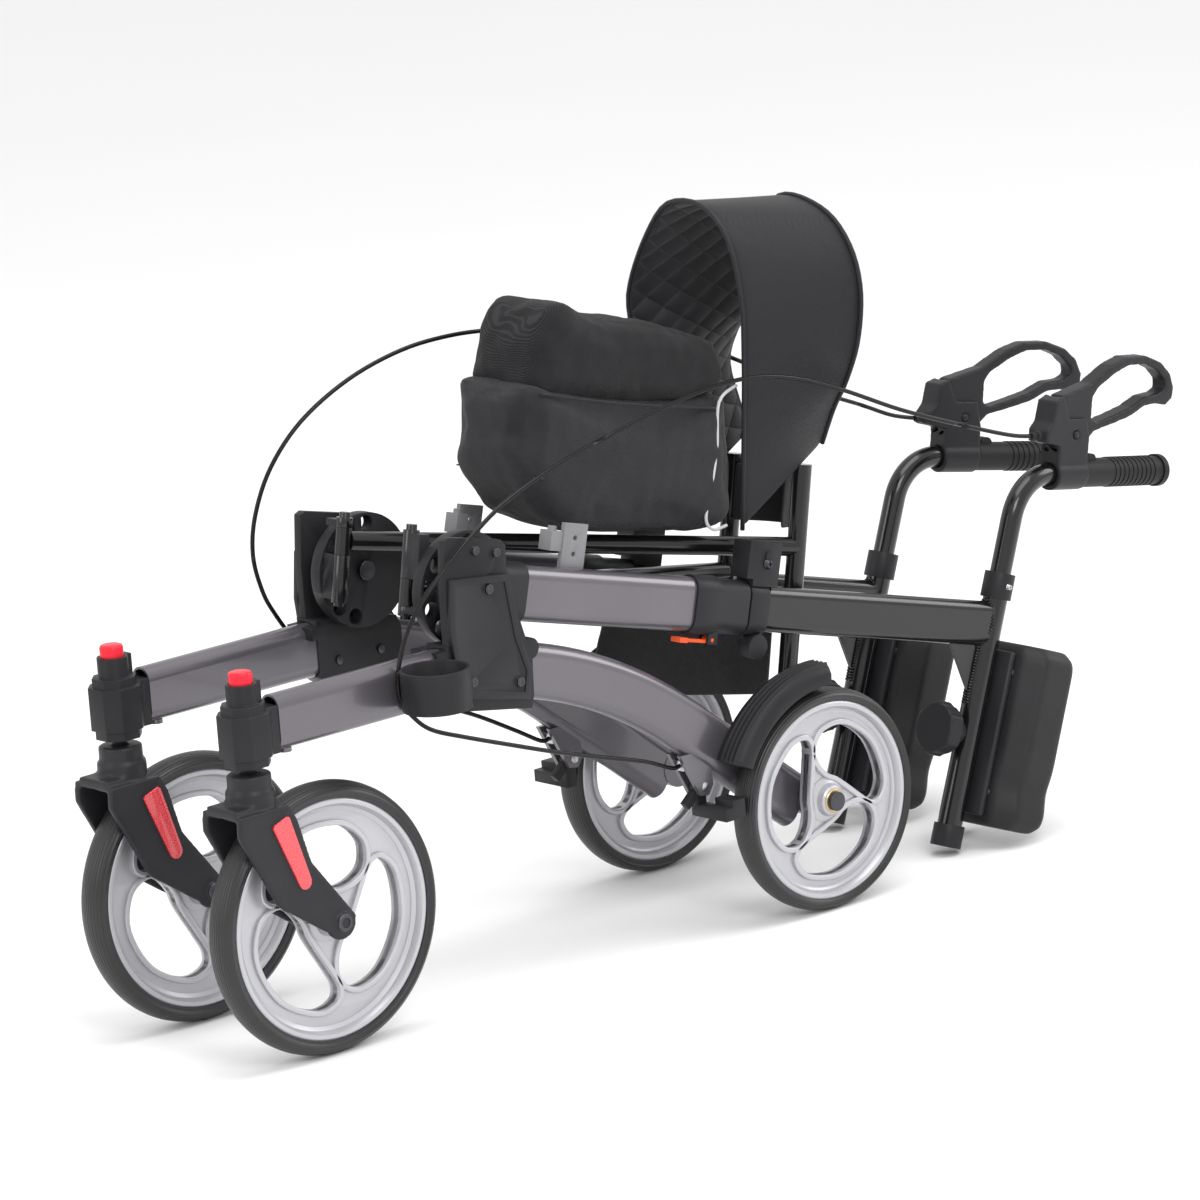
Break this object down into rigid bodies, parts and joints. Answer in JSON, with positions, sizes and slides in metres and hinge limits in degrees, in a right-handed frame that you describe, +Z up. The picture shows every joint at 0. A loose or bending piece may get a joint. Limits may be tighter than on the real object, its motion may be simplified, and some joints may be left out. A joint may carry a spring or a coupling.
{
  "type": "folding forearm walker",
  "caption": "Folding upright walker with forearm pads, loop brake levers, swivel front wheels, cross brace, seat sling, bag, backrest strap and cup holder, stored with its uprights laid back.",
  "frame": {"origin": "on the floor, at the middle of the overall length and of the overall width over the cup holder, as folded; the plane between the two sides lies 15.75 mm to the right of it, at Y = -0.01575", "axes": "+X towards the front casters, +Y towards the left side, the one with the cup holder, +Z up"},
  "size_m": [1.5023, 0.3774, 0.805],
  "materials": {
    "grey_paint": "metallic gloss",
    "black_paint": "gloss",
    "matte_plastic": "matte",
    "red_plastic": "gloss",
    "orange_plastic": "satin",
    "wheel_silver": "satin silver",
    "tyre_black": "matte",
    "steel": "bright",
    "light_grey": "satin",
    "pad_rubber": "satin",
    "grip_rubber": "matte",
    "cable_jacket": "satin",
    "fabric_black": "woven"
  },
  "bodies": {
    "left_frame": {"left_arch_tube": "grey_paint", "left_stem_housing": "matte_plastic", "left_hinge_bracket": "matte_plastic", "left_hinge_cover": "matte_plastic", "left_frame_fasteners": "steel", "left_fender": "matte_plastic", "cup_holder": "matte_plastic", "left_brake_cable": "cable_jacket", "right_brake_cable": "cable_jacket"},
    "right_frame": {"right_arch_tube": "grey_paint", "right_stem_housing": "matte_plastic", "right_hinge_bracket": "matte_plastic", "right_hinge_cover": "matte_plastic", "right_frame_fasteners": "steel", "right_fender": "matte_plastic"},
    "left_stem_button": {"left_stem_button": "red_plastic"},
    "left_caster": {"left_caster_fork": "matte_plastic"},
    "left_front_wheel": {"left_front_rim": "wheel_silver", "left_front_tyre": "tyre_black"},
    "left_rear_wheel": {"left_rear_rim": "wheel_silver", "left_rear_tyre": "tyre_black"},
    "left_brake_arm": {"left_brake_arm": "matte_plastic"},
    "left_upright": {"left_upright_fitting": "black_paint", "left_outer_tube": "grey_paint", "left_tube_collar": "matte_plastic", "left_seat_catch": "light_grey", "bag": "fabric_black"},
    "left_height_lever": {"left_height_lever": "orange_plastic"},
    "left_arm": {"left_arm_frame": "black_paint", "left_upright_trim": "matte_plastic", "left_forearm_pad": "pad_rubber", "backrest_strap": "fabric_black"},
    "left_pad_knob": {"left_pad_knob": "matte_plastic"},
    "left_handle": {"left_handle_tube": "black_paint", "left_grip": "grip_rubber", "left_brake_housing": "matte_plastic"},
    "left_brake_lever": {"left_brake_lever": "matte_plastic"},
    "right_stem_button": {"right_stem_button": "red_plastic"},
    "right_caster": {"right_caster_fork": "matte_plastic"},
    "right_front_wheel": {"right_front_rim": "wheel_silver", "right_front_tyre": "tyre_black"},
    "right_rear_wheel": {"right_rear_rim": "wheel_silver", "right_rear_tyre": "tyre_black"},
    "right_brake_arm": {"right_brake_arm": "matte_plastic"},
    "right_upright": {"right_upright_fitting": "black_paint", "right_outer_tube": "grey_paint", "right_tube_collar": "matte_plastic", "right_seat_catch": "light_grey"},
    "right_height_lever": {"right_height_lever": "orange_plastic"},
    "right_arm": {"right_arm_frame": "black_paint", "right_upright_trim": "matte_plastic", "right_forearm_pad": "pad_rubber"},
    "right_pad_knob": {"right_pad_knob": "matte_plastic"},
    "right_handle": {"right_handle_tube": "black_paint", "right_grip": "grip_rubber", "right_brake_housing": "matte_plastic"},
    "right_brake_lever": {"right_brake_lever": "matte_plastic"},
    "right_cross_bar": {"right_cross_bar": "black_paint", "seat_sling": "fabric_black"},
    "left_cross_bar": {"left_cross_bar": "black_paint"}
  },
  "joints": [
    {"name": "width_slide", "type": "slide", "parent": "left_frame", "child": "right_frame", "axis": [0, -1, 0], "range_m": [0, 0.28], "deforming": ["bag", "backrest_strap", "seat_sling", "right_brake_cable"]},
    {"name": "left_stem_button_press", "type": "slide", "parent": "left_frame", "child": "left_stem_button", "axis": [0, 0, -1], "range_m": [0, 0.0035], "stiffness_N_per_m": 900, "springref_m": -0.001},
    {"name": "left_caster_swivel", "type": "hinge", "parent": "left_frame", "child": "left_caster", "pos_m": [0.685, 0.09525, 0.4], "axis": [0, 0, 1], "range_deg": [-230, 50]},
    {"name": "left_front_wheel_spin", "type": "hinge", "parent": "left_caster", "child": "left_front_wheel", "pos_m": [0.601, 0.09525, 0.15], "axis": [0, 1, 0], "continuous": true},
    {"name": "left_rear_wheel_spin", "type": "hinge", "parent": "left_frame", "child": "left_rear_wheel", "pos_m": [-0.097, 0.13225, 0.127], "axis": [0, 1, 0], "continuous": true},
    {"name": "left_brake_arm_swing", "type": "hinge", "parent": "left_frame", "child": "left_brake_arm", "pos_m": [0.055, 0.09525, 0.172], "axis": [0, 1, 0], "range_deg": [0, 5]},
    {"name": "right_stem_button_press", "type": "slide", "parent": "right_frame", "child": "right_stem_button", "axis": [0, 0, -1], "range_m": [0, 0.0035], "stiffness_N_per_m": 900, "springref_m": -0.001},
    {"name": "right_caster_swivel", "type": "hinge", "parent": "right_frame", "child": "right_caster", "pos_m": [0.685, -0.12675, 0.4], "axis": [0, 0, 1], "range_deg": [-50, 230]},
    {"name": "right_front_wheel_spin", "type": "hinge", "parent": "right_caster", "child": "right_front_wheel", "pos_m": [0.601, -0.12675, 0.15], "axis": [0, 1, 0], "continuous": true},
    {"name": "right_rear_wheel_spin", "type": "hinge", "parent": "right_frame", "child": "right_rear_wheel", "pos_m": [-0.097, -0.16375, 0.127], "axis": [0, 1, 0], "continuous": true},
    {"name": "right_brake_arm_swing", "type": "hinge", "parent": "right_frame", "child": "right_brake_arm", "pos_m": [0.055, -0.12675, 0.172], "axis": [0, 1, 0], "range_deg": [0, 5]},
    {"name": "fold_hinge", "type": "hinge", "parent": "left_frame", "child": "left_upright", "pos_m": [0.353, 0.08225, 0.458], "axis": [0, 1, 0], "range_deg": [0, 101], "deforming": ["left_brake_cable", "right_brake_cable"]},
    {"name": "right_upright_slide", "type": "slide", "parent": "left_upright", "child": "right_upright", "axis": [0, -1, 0], "range_m": [0, 0.28], "deforming": ["bag", "backrest_strap", "seat_sling"]},
    {"name": "height_slide", "type": "slide", "parent": "left_upright", "child": "left_arm", "axis": [-0.9668, 0, -0.2554], "range_m": [0, 0.17], "deforming": ["left_brake_cable", "right_brake_cable"]},
    {"name": "right_arm_slide", "type": "slide", "parent": "left_arm", "child": "right_arm", "axis": [0, -1, 0], "range_m": [0, 0.28], "deforming": ["bag", "backrest_strap", "seat_sling", "right_brake_cable"]},
    {"name": "left_height_lever_press", "type": "hinge", "parent": "left_upright", "child": "left_height_lever", "pos_m": [0.01465, 0.08225, 0.3293], "axis": [0, -1, 0], "range_deg": [0, 4], "stiffness_Nm_per_rad": 0.6, "springref_deg": -2.86},
    {"name": "left_pad_knob_turn", "type": "hinge", "parent": "left_arm", "child": "left_pad_knob", "pos_m": [-0.35423, 0.08225, 0.1397], "axis": [0.9336, 0, 0.3584], "continuous": true},
    {"name": "left_handle_slide", "type": "slide", "parent": "left_arm", "child": "left_handle", "axis": [-0.3584, 0, 0.9336], "range_m": [0, 0.06], "deforming": ["left_brake_cable"]},
    {"name": "left_brake_lever_squeeze", "type": "hinge", "parent": "left_handle", "child": "left_brake_lever", "pos_m": [-0.56724, 0.07583, 0.44923], "axis": [0.0879, -0.9956, 0.0337], "range_deg": [0, 14], "stiffness_Nm_per_rad": 1.5, "springref_deg": -5.73},
    {"name": "right_height_lever_press", "type": "hinge", "parent": "right_upright", "child": "right_height_lever", "pos_m": [0.01465, -0.11375, 0.3293], "axis": [0, -1, 0], "range_deg": [0, 4], "stiffness_Nm_per_rad": 0.6, "springref_deg": -2.86},
    {"name": "right_pad_knob_turn", "type": "hinge", "parent": "right_arm", "child": "right_pad_knob", "pos_m": [-0.35423, -0.11375, 0.1397], "axis": [0.9336, 0, 0.3584], "continuous": true},
    {"name": "right_handle_slide", "type": "slide", "parent": "right_arm", "child": "right_handle", "axis": [-0.3584, 0, 0.9336], "range_m": [0, 0.06], "deforming": ["right_brake_cable"]},
    {"name": "right_brake_lever_squeeze", "type": "hinge", "parent": "right_handle", "child": "right_brake_lever", "pos_m": [-0.56724, -0.10733, 0.44923], "axis": [-0.0879, -0.9956, -0.0337], "range_deg": [0, 14], "stiffness_Nm_per_rad": 1.5, "springref_deg": -5.73},
    {"name": "right_cross_bar_turn", "type": "hinge", "parent": "right_upright", "child": "right_cross_bar", "pos_m": [0.401, -0.07275, 0.482], "axis": [-0.1908, 0, 0.9816], "range_deg": [-31, 0], "deforming": ["seat_sling"]},
    {"name": "left_cross_bar_turn", "type": "hinge", "parent": "right_cross_bar", "child": "left_cross_bar", "pos_m": [0.11976, -0.01575, 0.42733], "axis": [-0.1908, 0, 0.9816], "range_deg": [0, 62], "deforming": ["seat_sling"]}
  ],
  "couplings": [
    {"joint": "right_upright_slide", "follows": "width_slide", "ratio": 1},
    {"joint": "right_arm_slide", "follows": "width_slide", "ratio": 1},
    {"joint": "right_cross_bar_turn", "follows": "width_slide", "rad_per_m": -1.91},
    {"joint": "left_cross_bar_turn", "follows": "width_slide", "rad_per_m": 3.82},
    {"joint": "left_brake_arm_swing", "follows": "left_brake_lever_squeeze", "ratio": 0.35714},
    {"joint": "right_brake_arm_swing", "follows": "right_brake_lever_squeeze", "ratio": 0.35714}
  ]
}
